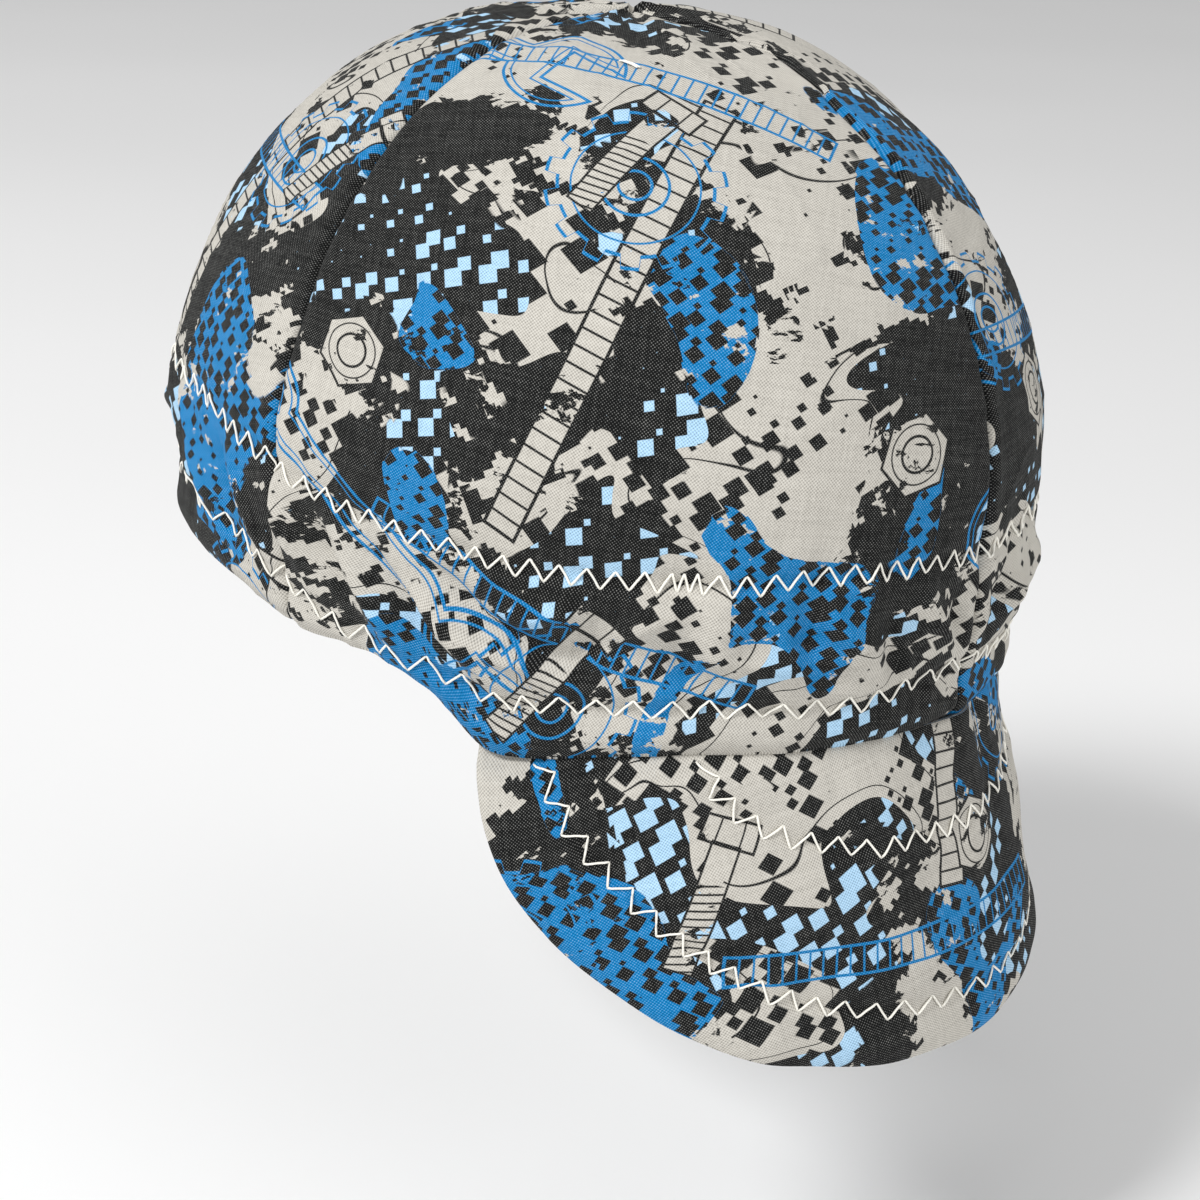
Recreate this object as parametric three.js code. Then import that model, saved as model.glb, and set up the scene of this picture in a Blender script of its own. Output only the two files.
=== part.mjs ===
// A soft cotton welding cap, in millimetres, +Z up as it is worn.
// Four cloth panels make the crown and a short soft brim hangs from the rim.
// The origin is the middle of the head opening. The brim is at -Y, and the
// cap is alike on both sides of the plane X = 0.
import * as THREE from 'three';

// Crown
const HALF_WIDTH = 85.3;
const LENGTH_TO_BRIM = 98.4;
const LENGTH_TO_BACK = 102.4;
const WIDEST_HEIGHT = 41;
const CROWN_HEIGHT = 122;
// The dome's section is a superellipse: its power upwards and its power outwards.
const DOME_POWER_UP = 1.6;
const DOME_POWER_OUT = 2.4;

// Rim, as half lengths from the middle of the opening
const RIM_HALF_WIDTH = 81.8;
const RIM_TO_BRIM = 96.8;
const RIM_TO_BACK = 104;
const RIM_DIP = 13.7;
// How far the rim lies below the level of the origin, as a share of RIM_DIP,
// by the angle from the middle of the brim. Past the brim's two ends it is
// drawn up in a step.
const RIM_LINE = [
  { angle: 0, drop: 0.64 },
  { angle: 14, drop: 0.62 },
  { angle: 40, drop: 0.66 },
  { angle: 51, drop: 0.76 },
  { angle: 65, drop: 1 },
  { angle: 70.5, drop: 0.9 },
  { angle: 77.5, drop: 0.18 },
  { angle: 89, drop: -0.09 },
  { angle: 96, drop: -0.01 },
  { angle: 104, drop: -0.1 },
  { angle: 112, drop: -0.25 },
  { angle: 125, drop: -0.31 },
  { angle: 180, drop: -0.3 },
];

// Cloth
const CLOTH = 1.2;
const HEM = 2.2;
const HEM_WIDTH = 42;
const HEM_STEP = 2;
const SEAM_GAP = 0.3;
// Angle of the two side seams from the middle of the brim
const SIDE_SEAM = 100;

// Soft billows of the crown between the two rows of hem stitching, as
// shares of BILLOW_DEPTH, by their place round the rim and across the hem
const BILLOW_DEPTH = 1.6;
const BILLOWS = [
  { angle: 84, width: 7, middle: 0.55, rise: 0.8 },
  { angle: 73, width: 5, middle: 0.5, rise: 1 },
  { angle: 63, width: 6, middle: 0.55, rise: 0.9 },
  { angle: 51, width: 6, middle: 0.5, rise: 0.6 },
  { angle: 37, width: 8, middle: 0.5, rise: 0.5 },
  { angle: 20, width: 8, middle: 0.5, rise: 0.4 },
  { angle: 96, width: 6, middle: 0.5, rise: 0.7 },
  { angle: 112, width: 8, middle: 0.5, rise: 0.6 },
  { angle: 133, width: 9, middle: 0.5, rise: 0.5 },
  { angle: 158, width: 10, middle: 0.5, rise: 0.5 },
];
const BILLOW_HEIGHT = 12;

// Brim
const BRIM_DROP = 70;
const BRIM_HALF_ANGLE = 70.5;
const BRIM_THICKNESS = 2;
const BRIM_FLARE = 15;
const BRIM_CURL = 3;
const BRIM_INSET = 0.2;
// The brim's outline: how wide its bottom is, and how round its corners are.
const BRIM_POWER_ACROSS = 2.5;
const BRIM_POWER_DOWN = 0.58;

// Facets
const PANEL_COLUMN_ANGLE = 7;
const HEM_ROWS = 4;
const DOME_ROWS = 12;
const BRIM_COLUMNS = 30;
const BRIM_ROWS = 7;
// Where the brim's outermost facet ends, short of its pointed corner
const BRIM_LAST_ANGLE = 86;
const PANEL_TIP_RADIUS = 0.8;
const SLOPE_STEP = 0.02;

const radians = THREE.MathUtils.degToRad;

// A smooth curve through the rows of a table, by its angle column.
function along(table, column, angle) {
  const last = table.length - 1;
  const at = Math.min(Math.abs(angle), table[last].angle);
  const found = table.findIndex((row) => row.angle >= at);
  const k = Math.max(found, 1);
  const slope = (i) => {
    const low = table[Math.max(i - 1, 0)];
    const high = table[Math.min(i + 1, last)];
    const flat = i === 0 || i === last;
    return flat ? 0 : (high[column] - low[column]) / (high.angle - low.angle);
  };
  const span = table[k].angle - table[k - 1].angle;
  const t = (at - table[k - 1].angle) / span;
  const start = table[k - 1][column];
  const end = table[k][column];
  const rise = end - start;
  const s0 = slope(k - 1) * span;
  const s1 = slope(k) * span;
  return start + t * (s0 + t * (3 * rise - 2 * s0 - s1 + t * (s0 + s1 - 2 * rise)));
}

function rimHeight(angle) {
  return -RIM_DIP * along(RIM_LINE, 'drop', angle);
}

// How wide the rim is as a share of the crown's widest level, by angle.
function rimShare(angle) {
  const brim = RIM_TO_BRIM / LENGTH_TO_BRIM;
  const back = RIM_TO_BACK / LENGTH_TO_BACK;
  const side = RIM_HALF_WIDTH / HALF_WIDTH;
  const turn = radians(angle);
  const mean = (brim + back + 2 * side) / 4;
  const tilt = (brim - back) / 2;
  const oval = (brim + back - 2 * side) / 4;
  return mean + tilt * Math.cos(turn) + oval * Math.cos(2 * turn);
}

function billowRise(angle, height) {
  let rise = 0;
  for (const billow of BILLOWS) {
    const across = (Math.abs(angle) - billow.angle) / billow.width;
    const up = (height - billow.middle * HEM_WIDTH - rimHeight(angle)) / BILLOW_HEIGHT;
    rise += BILLOW_DEPTH * billow.rise * Math.exp(-across * across - up * up);
  }
  return rise;
}

// The crown's outer face. Level 0 is the rim, 1 the widest height and 2 the top.
function crownPoint(angle, level) {
  const turn = radians(angle);
  let share = 0;
  let height = 0;
  if (level <= 1) {
    const rim = rimHeight(angle);
    height = rim + (WIDEST_HEIGHT - rim) * level;
    const up = Math.max(height / WIDEST_HEIGHT, -0.3);
    const low = rimShare(angle);
    share = low + (1 - low) * Math.sin(Math.PI / 2 * up);
  } else {
    const rise = (level - 1) * Math.PI / 2;
    share = Math.max(Math.cos(rise), 0) ** (2 / DOME_POWER_OUT);
    const up = Math.sin(rise) ** (2 / DOME_POWER_UP);
    height = WIDEST_HEIGHT + (CROWN_HEIGHT - WIDEST_HEIGHT) * up;
  }
  const out = share + billowRise(angle, height) / HALF_WIDTH;
  const halfLength = Math.cos(turn) > 0 ? LENGTH_TO_BRIM : LENGTH_TO_BACK;
  return new THREE.Vector3(
    HALF_WIDTH * out * Math.sin(turn),
    -halfLength * out * Math.cos(turn),
    height,
  );
}

// The outward direction of a face, from its slopes each way.
function outward(point, angle, level) {
  const lowest = Math.max(level - SLOPE_STEP, 0);
  const across = point(angle + 1, level).sub(point(angle - 1, level));
  const up = point(angle, level + SLOPE_STEP).sub(point(angle, lowest));
  return across.cross(up).normalize();
}

// A closed wall from two grids of points, outer and inner, whose rows run
// upwards and whose columns run anticlockwise seen from above. A last row
// of one point is a tip.
function wall(outer, inner) {
  const positions = [];
  const index = [];
  const number = (grid) => grid.map((row) => row.map((point) => {
    positions.push(point.x, point.y, point.z);
    return positions.length / 3 - 1;
  }));
  const out = number(outer);
  const back = number(inner);
  const face = (a, b, c, d) => {
    index.push(a, b, c);
    if (c !== d) {
      index.push(a, c, d);
    }
  };
  const top = out.length - 1;
  const end = out[0].length - 1;
  const pick = (row, column) => row[Math.min(column, row.length - 1)];
  for (let i = 0; i < top; i += 1) {
    for (let j = 0; j < end; j += 1) {
      face(out[i][j], out[i][j + 1], pick(out[i + 1], j + 1), pick(out[i + 1], j));
      face(back[i][j + 1], back[i][j], pick(back[i + 1], j), pick(back[i + 1], j + 1));
    }
    face(back[i][0], out[i][0], out[i + 1][0], back[i + 1][0]);
    face(out[i][end], back[i][end], pick(back[i + 1], end), pick(out[i + 1], end));
  }
  for (let j = 0; j < end; j += 1) {
    face(back[0][j], back[0][j + 1], out[0][j + 1], out[0][j]);
    if (out[top].length > 1) {
      face(out[top][j], out[top][j + 1], back[top][j + 1], back[top][j]);
    }
  }
  const geometry = new THREE.BufferGeometry();
  geometry.setAttribute('position', new THREE.Float32BufferAttribute(positions, 3));
  geometry.setIndex(index);
  geometry.computeVertexNormals();
  return geometry;
}

// The level of a height above the origin, at an angle round the crown.
function levelAt(angle, height) {
  if (height <= WIDEST_HEIGHT) {
    const rim = rimHeight(angle);
    return (height - rim) / (WIDEST_HEIGHT - rim);
  }
  const up = (height - WIDEST_HEIGHT) / (CROWN_HEIGHT - WIDEST_HEIGHT);
  return 1 + Math.asin(Math.min(up, 1) ** (DOME_POWER_UP / 2)) / (Math.PI / 2);
}

// A panel's rows run up the hem, past its upper edge and over the dome.
function rowLevel(row, angle) {
  const rim = rimHeight(angle);
  if (row <= HEM_ROWS) {
    return levelAt(angle, rim + HEM_WIDTH * row / HEM_ROWS);
  }
  const past = levelAt(angle, rim + HEM_WIDTH + HEM_STEP);
  return past + (2 - past) * (row - HEM_ROWS - 1) / DOME_ROWS;
}

// One crown panel between two seams, thicker where its hem is turned up inside.
function crownPanel(start, end) {
  const columns = Math.round((end - start) / PANEL_COLUMN_ANGLE);
  const outer = [];
  const inner = [];
  for (let row = 0; row <= HEM_ROWS + DOME_ROWS; row += 1) {
    const thick = row <= HEM_ROWS ? HEM : CLOTH;
    const outerRow = [];
    const innerRow = [];
    for (let j = 0; j <= columns; j += 1) {
      const even = start + (end - start) * j / columns;
      const reach = crownPoint(even, rowLevel(row, even));
      const edge = THREE.MathUtils.radToDeg(SEAM_GAP / 2 / Math.hypot(reach.x, reach.y));
      const angle = start + edge + (end - start - 2 * edge) * j / columns;
      const level = rowLevel(row, angle);
      const point = crownPoint(angle, level);
      outerRow.push(point);
      innerRow.push(point.clone().addScaledVector(outward(crownPoint, angle, level), -thick));
    }
    outer.push(outerRow);
    inner.push(innerRow);
  }
  const middle = radians((start + end) / 2);
  const tip = new THREE.Vector3(
    PANEL_TIP_RADIUS * Math.sin(middle),
    -PANEL_TIP_RADIUS * Math.cos(middle),
    CROWN_HEIGHT,
  );
  outer.push([tip]);
  inner.push([tip.clone().setZ(CROWN_HEIGHT - CLOTH)]);
  return wall(outer, inner);
}

// The brim's outer face. Across runs from -1 to 1 between its two corners, and
// down from 0 at the rim to 1 at its edge.
function brimPoint(across, down) {
  const angle = across * BRIM_HALF_ANGLE;
  const rim = crownPoint(angle, 0);
  const depth = BRIM_DROP * (1 - Math.abs(across) ** BRIM_POWER_ACROSS) ** BRIM_POWER_DOWN;
  const length = depth * down;
  const away = outward(crownPoint, angle, 0).setZ(0).normalize();
  const share = length / BRIM_DROP;
  const out = length * Math.sin(radians(BRIM_FLARE)) - BRIM_CURL * share * share - BRIM_INSET;
  const drop = length * Math.cos(radians(BRIM_FLARE)) + SEAM_GAP;
  return rim.addScaledVector(away, out).add(new THREE.Vector3(0, 0, -drop));
}

function brim() {
  const outer = [];
  const inner = [];
  for (let i = BRIM_ROWS; i >= 0; i -= 1) {
    const outerRow = [];
    const innerRow = [];
    for (let j = 0; j <= BRIM_COLUMNS; j += 1) {
      const turn = radians(BRIM_LAST_ANGLE * (2 * j / BRIM_COLUMNS - 1));
      const across = Math.sin(turn);
      const point = brimPoint(across, i / BRIM_ROWS);
      const away = outward(crownPoint, across * BRIM_HALF_ANGLE, 0).setZ(0).normalize();
      outerRow.push(point);
      innerRow.push(point.clone().addScaledVector(away, -BRIM_THICKNESS));
    }
    outer.push(outerRow);
    inner.push(innerRow);
  }
  return wall(outer, inner);
}

const cap = new THREE.Group();

function add(name, geometry, colour) {
  const material = new THREE.MeshStandardMaterial({ color: colour, roughness: 0.9, metalness: 0 });
  const mesh = new THREE.Mesh(geometry, material);
  mesh.name = name;
  cap.add(mesh);
}

const PRINTED_COTTON = 0x8d9394;
add('crown_panel_front_left', crownPanel(0, SIDE_SEAM), PRINTED_COTTON);
add('crown_panel_back_left', crownPanel(SIDE_SEAM, 180), PRINTED_COTTON);
add('crown_panel_back_right', crownPanel(-180, -SIDE_SEAM), PRINTED_COTTON);
add('crown_panel_front_right', crownPanel(-SIDE_SEAM, 0), PRINTED_COTTON);
add('brim', brim(), PRINTED_COTTON);

export default cap;
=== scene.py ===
# A soft printed cotton welding cap: cloth panels, brim, zigzag rows and thread,
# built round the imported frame. Lengths are in millimetres until a mesh is made.
import math

import bpy
import numpy as np
from mathutils import Matrix, Vector


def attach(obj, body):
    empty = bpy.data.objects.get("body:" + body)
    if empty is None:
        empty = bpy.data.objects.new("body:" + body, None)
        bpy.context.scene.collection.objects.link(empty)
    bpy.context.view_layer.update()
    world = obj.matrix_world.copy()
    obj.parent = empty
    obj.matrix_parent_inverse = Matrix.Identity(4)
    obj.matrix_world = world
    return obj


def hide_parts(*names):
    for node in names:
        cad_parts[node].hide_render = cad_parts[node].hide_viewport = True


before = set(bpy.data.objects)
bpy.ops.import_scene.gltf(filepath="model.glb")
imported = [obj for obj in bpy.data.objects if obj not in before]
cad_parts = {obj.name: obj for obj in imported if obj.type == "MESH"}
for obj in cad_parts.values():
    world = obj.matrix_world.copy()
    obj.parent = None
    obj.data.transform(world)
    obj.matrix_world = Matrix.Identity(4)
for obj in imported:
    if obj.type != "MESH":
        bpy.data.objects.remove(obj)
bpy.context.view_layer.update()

METRES = 0.001

# Crown
HALF_WIDTH = 85.3
LENGTH_TO_BRIM = 98.4
LENGTH_TO_BACK = 102.4
WIDEST_HEIGHT = 41.0
CROWN_HEIGHT = 122.0
DOME_POWER_UP = 1.6
DOME_POWER_OUT = 2.4
RIM_HALF_WIDTH = 81.8
RIM_TO_BRIM = 96.8
RIM_TO_BACK = 104.0
RIM_DIP = 13.7
SIDE_SEAM = 100.0
PANEL_EDGES = np.array([-180, -SIDE_SEAM, 0, SIDE_SEAM, 180.0])

# Rough distances from the cap's middle, for lengths round the cloth, the brim and its rows
MEAN_REACH = 90.0
BRIM_REACH = 92.0
ROW_REACH = 95.0

# Lines round the cap, as (angle from the middle of the brim, value)
RIM_DROP = [(0, 0.64), (14, 0.62), (40, 0.66), (51, 0.76), (65, 1), (70.5, 0.9), (77.5, 0.18),
            (89, -0.09), (96, -0.01), (104, -0.1), (112, -0.25), (125, -0.31), (180, -0.3)]
UPPER_ROW_HEIGHT = [(0, 28), (12, 28.6), (27, 29), (37, 28), (46, 28.2), (61, 27.5), (70, 28.2),
                    (77, 29.2), (88, 31.7), (95, 34), (104, 37.4), (114, 40.2), (124, 42), (180, 43)]
LOWER_ROW_HEIGHT = [(0, 3.6), (8, 2.3), (18, 1.3), (30, 0.5), (45, 0.4), (58, -0.4), (67, -1.5),
                    (73, 0.5), (77, 2.4), (91, 6), (97, 9.1), (103, 11.8), (109, 14), (118, 17),
                    (130, 17), (180, 16.5)]

# Cloth
CLOTH = 0.7
HEM = 1.5
BRIM_CLOTH = 1.5
HEM_PAST_ROW = 3.5
SEAM_GAP = 0.04
ALLOWANCE = 8.0
ALLOWANCE_CLOTH = 0.5

# Brim
BRIM_DROP = 70.0
BRIM_HALF_ANGLE = 70.5
BRIM_FLARE = 15.0
BRIM_CURL = 3.0
BRIM_INSET = 0.2
BRIM_START_GAP = 0.3
# Outlines on the brim, as (half angle, depth at the middle, power across, power down)
BRIM_OUTLINE = (BRIM_HALF_ANGLE, BRIM_DROP, 2.6, 0.7)
OUTER_BRIM_ROW = (62.0, 58.5, 2.6, 0.95)
INNER_BRIM_ROW = (40.5, 22.0, 3.0, 0.52)

# Thread and weave
THREAD_RADIUS = 0.25
THREAD_SIDES = 6
ROW_PER_DEGREE = 1.56
WEAVE = 0.35

# A soft dent beside the top
DENT_ANGLE = -52.0
DENT_REACH = 23.5
DENT_DEPTH = 1.7
DENT_HALF_LENGTH = 6.5
DENT_HALF_WIDTH = 2.6

# A loose end of thread beside the top: (angle, distance from the top, lift) of its points
LOOSE_END = [(-58.4, 35.7, -0.3), (-57.6, 36.3, 0.35), (-56.2, 37.1, 0.5), (-54.6, 38.1, 0.5),
             (-52.9, 39.1, 0.4)]
STRAND_STEP = 0.75

# The panels of the crown, from seam to seam. Each piece is cut from its own place in the printed
# cloth, given as (degrees, shift across, shift up, layer)
PANELS = {
    "front_left": (0, SIDE_SEAM, (-4, 0, 40, 1)),
    "back_left": (SIDE_SEAM, 180, (9, 190, 260, 2)),
    "back_right": (-180, -SIDE_SEAM, (-12, 420, 150, 3)),
    "front_right": (-SIDE_SEAM, 0, (6, 610, 330, 4)),
}
BRIM_CUT = (-14, 310, 40, 5)
UNDER_BRIM_CUT = (21, 520, -60, 6)

# Mesh fineness
FINE = 1.0
ROWS_TO_WIDEST = 54
ROWS_OVER_DOME = 126
COLUMNS_PER_DEGREE = 1.9
BRIM_COLUMNS = 230
BRIM_ROWS = 70

rng = np.random.default_rng(7)


def along(table, angle):
    """A smooth curve through a table of (angle, value), the same on both sides of the cap."""
    x, y = np.array(table, float).T
    slope = np.zeros(len(x))
    slope[1:-1] = (y[2:] - y[:-2]) / (x[2:] - x[:-2])
    at = np.clip(np.abs(np.asarray(angle, float)), x[0], x[-1])
    k = np.clip(np.searchsorted(x, at), 1, len(x) - 1)
    span = x[k] - x[k - 1]
    t = (at - x[k - 1]) / span
    s0, s1, rise = slope[k - 1] * span, slope[k] * span, y[k] - y[k - 1]
    return y[k - 1] + t * (s0 + t * (3 * rise - 2 * s0 - s1 + t * (s0 + s1 - 2 * rise)))


def rim_height(angle):
    return -RIM_DIP * along(RIM_DROP, angle)


def rim_share(angle):
    """How wide the crown is at the rim, as a share of its width at the widest level."""
    turn = np.radians(angle)
    brim = RIM_TO_BRIM / LENGTH_TO_BRIM
    back = RIM_TO_BACK / LENGTH_TO_BACK
    side = RIM_HALF_WIDTH / HALF_WIDTH
    mean = (brim + back + 2 * side) / 4
    oval = (brim + back - 2 * side) / 4
    return mean + (brim - back) / 2 * np.cos(turn) + oval * np.cos(2 * turn)


def crown(angle, height):
    """The crown's smooth outer face, at an angle round it and a height above the origin."""
    angle, height = np.broadcast_arrays(np.asarray(angle, float), np.asarray(height, float))
    low = rim_share(angle)
    up = np.clip(height / WIDEST_HEIGHT, -0.3, 1)
    band = low + (1 - low) * np.sin(np.pi / 2 * up)
    climb = np.clip((height - WIDEST_HEIGHT) / (CROWN_HEIGHT - WIDEST_HEIGHT), 0, 1)
    dome = np.maximum(1 - climb ** DOME_POWER_UP, 0) ** (1 / DOME_POWER_OUT)
    share = np.where(height < WIDEST_HEIGHT, band, dome)
    turn = np.radians(angle)
    length = np.where(np.cos(turn) > 0, LENGTH_TO_BRIM, LENGTH_TO_BACK)
    return np.stack([HALF_WIDTH * share * np.sin(turn), -length * share * np.cos(turn), height], -1)


def unit(v):
    return v / np.maximum(np.linalg.norm(v, axis=-1, keepdims=True), 1e-9)


def crown_out(angle, height):
    """The outward direction of the crown's smooth face."""
    turn, rise, top = 0.5, 0.3, CROWN_HEIGHT - 0.02
    high = np.minimum(np.asarray(height, float) + rise, top)
    across = crown(np.asarray(angle) + turn, height) - crown(np.asarray(angle) - turn, height)
    up = crown(angle, high) - crown(angle, high - 2 * rise)
    return unit(np.cross(across, up))


def rim_out(angle):
    """The level outward direction at the rim."""
    before, after = angle - 0.5, angle + 0.5
    across = crown(after, rim_height(after)) - crown(before, rim_height(before))
    return unit(np.stack([across[..., 1], -across[..., 0], 0 * across[..., 0]], -1))


def brim_face(angle, length):
    """The brim's smooth outer face, at an angle and a length down from the rim."""
    angle, length = np.broadcast_arrays(np.asarray(angle, float), np.asarray(length, float))
    flare = math.radians(BRIM_FLARE)
    out = length * math.sin(flare) - BRIM_CURL * (length / BRIM_DROP) ** 2 - BRIM_INSET
    drop = length * math.cos(flare) + BRIM_START_GAP
    down = np.array([0, 0, -1.0])
    return crown(angle, rim_height(angle)) + rim_out(angle) * out[..., None] + drop[..., None] * down


def rounded(outline, angle):
    """The length down to an outline of (half angle, depth, power across, power down)."""
    half, depth, across, down = outline
    return depth * np.maximum(1 - np.abs(angle / half) ** across, 0) ** down


# Smooth noise from a fixed lattice of random numbers
LATTICE_SIZE = 32
LATTICE = rng.random((LATTICE_SIZE, LATTICE_SIZE, LATTICE_SIZE))


def noise(x, y, z=0.0):
    """Smooth noise from -1 to 1, about one bump for each unit."""
    x, y, z = np.broadcast_arrays(np.asarray(x, float), np.asarray(y, float), np.asarray(z, float))
    cell = [np.floor(v).astype(int) for v in (x, y, z)]
    part = [v - c for v, c in zip((x, y, z), cell)]
    blend = [p * p * (3 - 2 * p) for p in part]
    total = 0
    for corner in np.ndindex(2, 2, 2):
        weight = 1
        for b, d in zip(blend, corner):
            weight = weight * (b if d else 1 - b)
        knot = tuple((c + d) % LATTICE_SIZE for c, d in zip(cell, corner))
        total = total + weight * LATTICE[knot]
    return 2 * total - 1


def waves(across, up, layers):
    """Layers of smooth noise, each given as (rise, size across, size up, layer)."""
    return sum(rise * noise(across / wide, up / high, layer) for rise, wide, high, layer in layers)


def bell(x):
    return np.exp(-x * x)


def crest(x):
    """Like a bell, with a sharper top, as a fold of thin cloth has."""
    return np.exp(-(x * x + 0.03) ** 0.68)


# Folds of the worn cloth between the two rows: (angle, share of the way from the lower row to
# the upper, direction from level in degrees, half length in mm, half width in mm, rise as a
# share of FOLD_RISE)
FOLD_RISE = 2.3
FOLD_PER_DEGREE = 1.55
FOLDS = [
    (-97, 0.5, 70, 10, 3.2, 1.5), (-91, 0.55, 62, 11, 3.0, -1.5), (-85, 0.45, 55, 12, 3.2, 1.7),
    (-79, 0.5, 45, 13, 3.0, -1.6), (-74, 0.4, 35, 13, 3.0, 1.9), (-69, 0.6, 24, 14, 3.0, -1.6),
    (-65, 0.33, 18, 12, 2.8, 1.8), (-61, 0.72, -14, 12, 3.4, 1.5), (-57, 0.42, -22, 11, 3.0, -1.6),
    (-51, 0.6, -36, 11, 3.4, 1.6), (-46, 0.35, 60, 8, 3.0, -1.2), (-41, 0.65, 80, 9, 3.4, 1.2),
    (-35, 0.4, 10, 12, 3.6, 1.2), (-29, 0.6, 70, 9, 3.0, -1.3), (-23, 0.5, 40, 10, 3.4, 1.3),
    (-16, 0.4, 75, 9, 3.0, -1.1), (-9, 0.55, 50, 9, 3.2, 1.2), (-4, 0.45, 80, 9, 2.8, -0.9),
    (-106, 0.45, 60, 10, 3.4, 1.2), (-113, 0.55, 75, 10, 3.2, -1.2), (-121, 0.4, 50, 11, 3.6, 1.2),
    (-131, 0.6, -65, 10, 3.4, -1.1), (-141, 0.5, -40, 11, 4.0, 1.1), (-152, 0.4, 70, 10, 3.6, -1.0),
    (-163, 0.6, 50, 11, 4.0, 1.0), (-173, 0.5, 80, 9, 3.4, -0.9),
]
# The far side is much the same, a little out of step
FAR_SHIFT, FAR_TURN = 3.5, 12
FOLDS += [(FAR_SHIFT - at, 1 - share, FAR_TURN - turn, *size) for at, share, turn, *size in FOLDS]


def rolled_edge(distance, dip, dip_reach, puff, puff_at, puff_width):
    """Cloth beside an edge: it dips into the edge and puffs out a little way off it."""
    dips = dip * np.exp(-np.maximum(distance, 0) / dip_reach)
    return puff * bell((distance - puff_at) / puff_width) - dips


def faint_creases(across, up):
    """Faint creases of thin cloth, which lean a little."""
    rise, sharpness, layer = 0.35, 0.09, 31.7
    field = noise(across / 24 + up / 60, up / 15 - across / 70, layer)
    return rise * np.exp(-np.abs(field) / sharpness)


def gathers(across, up, upper, lower):
    """Pleats that run across each row of stitches, which lies in a furrow of its own."""
    rise, upper_reach, lower_reach = 1.1, 7, 6
    upper_furrow, lower_furrow, furrow_width = 0.95, 1.0, 2.0
    ridges = np.abs(noise(across / 7.5, up / 26, 1.7))
    pleats = 0.5 - 1.6 * ridges + waves(across, up, [(0.5, 4.1, 24, 5.2)])
    fade = np.exp(-np.abs(upper) / upper_reach) + np.exp(-np.abs(lower) / lower_reach)
    furrows = upper_furrow * bell(upper / furrow_width) + lower_furrow * bell(lower / furrow_width)
    return rise * pleats * fade - furrows


def crumples(across, up):
    """The cloth between the two rows, which stands out and is crumpled."""
    bulge, ridge_depth = 1.02, 1.4
    ridges = np.abs(noise(across / 6.5 + up / 14, up / 7.5, 21.3))
    return bulge - ridge_depth * ridges + waves(across, up, [(0.95, 8, 12, 7.7)])


def folds(angle, lower, between):
    """The listed folds. A fold leans the way its row is seen from outside."""
    relief = 0
    for at, share, turn, long, wide, rise in FOLDS:
        sideways = (angle - at) * FOLD_PER_DEGREE
        upright = lower - share * between
        c, s = math.cos(math.radians(turn)), math.sin(math.radians(turn))
        run = -sideways * c + upright * s
        off = sideways * s + upright * c
        relief = relief + FOLD_RISE * rise * bell(run / long) * crest(off / wide)
    return relief


def seam_roll(distance, side, up):
    """The cloth beside a seam: it rolls into the seam, with small puckers across it. The side is
    1 after a seam and -1 before it, where the cloth stands lower."""
    depth, depth_reach = 1.5, 0.75
    ridge, ridge_at, ridge_width = 0.55 + 0.3 * side, 2.6, 2.2
    pucker, pucker_reach, pucker_start = 0.75, 9.5, 1.5
    puckers = noise(up / 4.2, distance / 26, 2.4 + side) + 0.7 * noise(up / 9.5, distance / 30, 6.1 + side)
    fade = np.exp(-distance / pucker_reach) * (1 - bell(distance / pucker_start))
    roll = ridge * crest((distance - ridge_at) / ridge_width) - depth * np.exp(-distance / depth_reach)
    return roll + pucker * puckers * fade


def drawn_top(angle, height):
    """The top, where four points of cloth are pulled together."""
    pit, pit_reach = 0.6, 0.2
    ripple, ripple_reach, ripples, ripple_start = 0.18, 4.0, 9, 0.12
    reach = np.maximum(CROWN_HEIGHT - height, 0)
    near_top = np.exp(-reach / ripple_reach) * (1 - np.exp(-reach / ripple_start))
    rippled = ripple * near_top * np.sin(np.radians(angle) * ripples + 0.7)
    return rippled - pit * np.exp(-reach / pit_reach)


def crown_relief(angle, height, to_start, to_end, up):
    """How far the worn cloth stands off the smooth crown, in mm."""
    across = np.radians(angle) * MEAN_REACH
    upper = height - along(UPPER_ROW_HEIGHT, angle)
    lower = height - along(LOWER_ROW_HEIGHT, angle)
    band_edge = 2.5
    inside = 1 / (1 + np.exp(-lower / band_edge)) / (1 + np.exp(upper / band_edge))
    relief = waves(across, up, [(1.1, 42, 38, 3.3), (0.6, 17, 19, 9.1)])
    relief = relief + faint_creases(across, up) * (1 - inside) + crumples(across, up) * inside
    relief = relief + gathers(across, up, upper, lower) + folds(angle, lower, lower - upper)
    relief = relief + seam_roll(to_start, 1.0, up) + seam_roll(to_end, -1.0, up)
    # the edge at the rim puffs out a little over the brim
    from_rim = height - rim_height(angle)
    relief = relief + rolled_edge(from_rim, dip=1.0, dip_reach=1.3, puff=0.7, puff_at=3.6, puff_width=2.8)
    return relief + drawn_top(angle, height)


def make_mesh(name, points, faces, smooth=True):
    """A piece of the scene from points in mm."""
    mesh = bpy.data.meshes.new(name)
    mesh.from_pydata((np.asarray(points) * METRES).tolist(), [], [list(f) for f in faces])
    mesh.validate(clean_customdata=False)
    mesh.polygons.foreach_set("use_smooth", [smooth] * len(mesh.polygons))
    mesh.update()
    piece = bpy.data.objects.new(name, mesh)
    bpy.context.scene.collection.objects.link(piece)
    return piece


def grid_faces(numbers):
    """Quads of a grid of vertex numbers, facing the way that rows cross columns."""
    a, b, c, d = numbers[:-1, :-1], numbers[:-1, 1:], numbers[1:, 1:], numbers[1:, :-1]
    return np.stack([a, b, c, d], -1).reshape(-1, 4)


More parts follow.
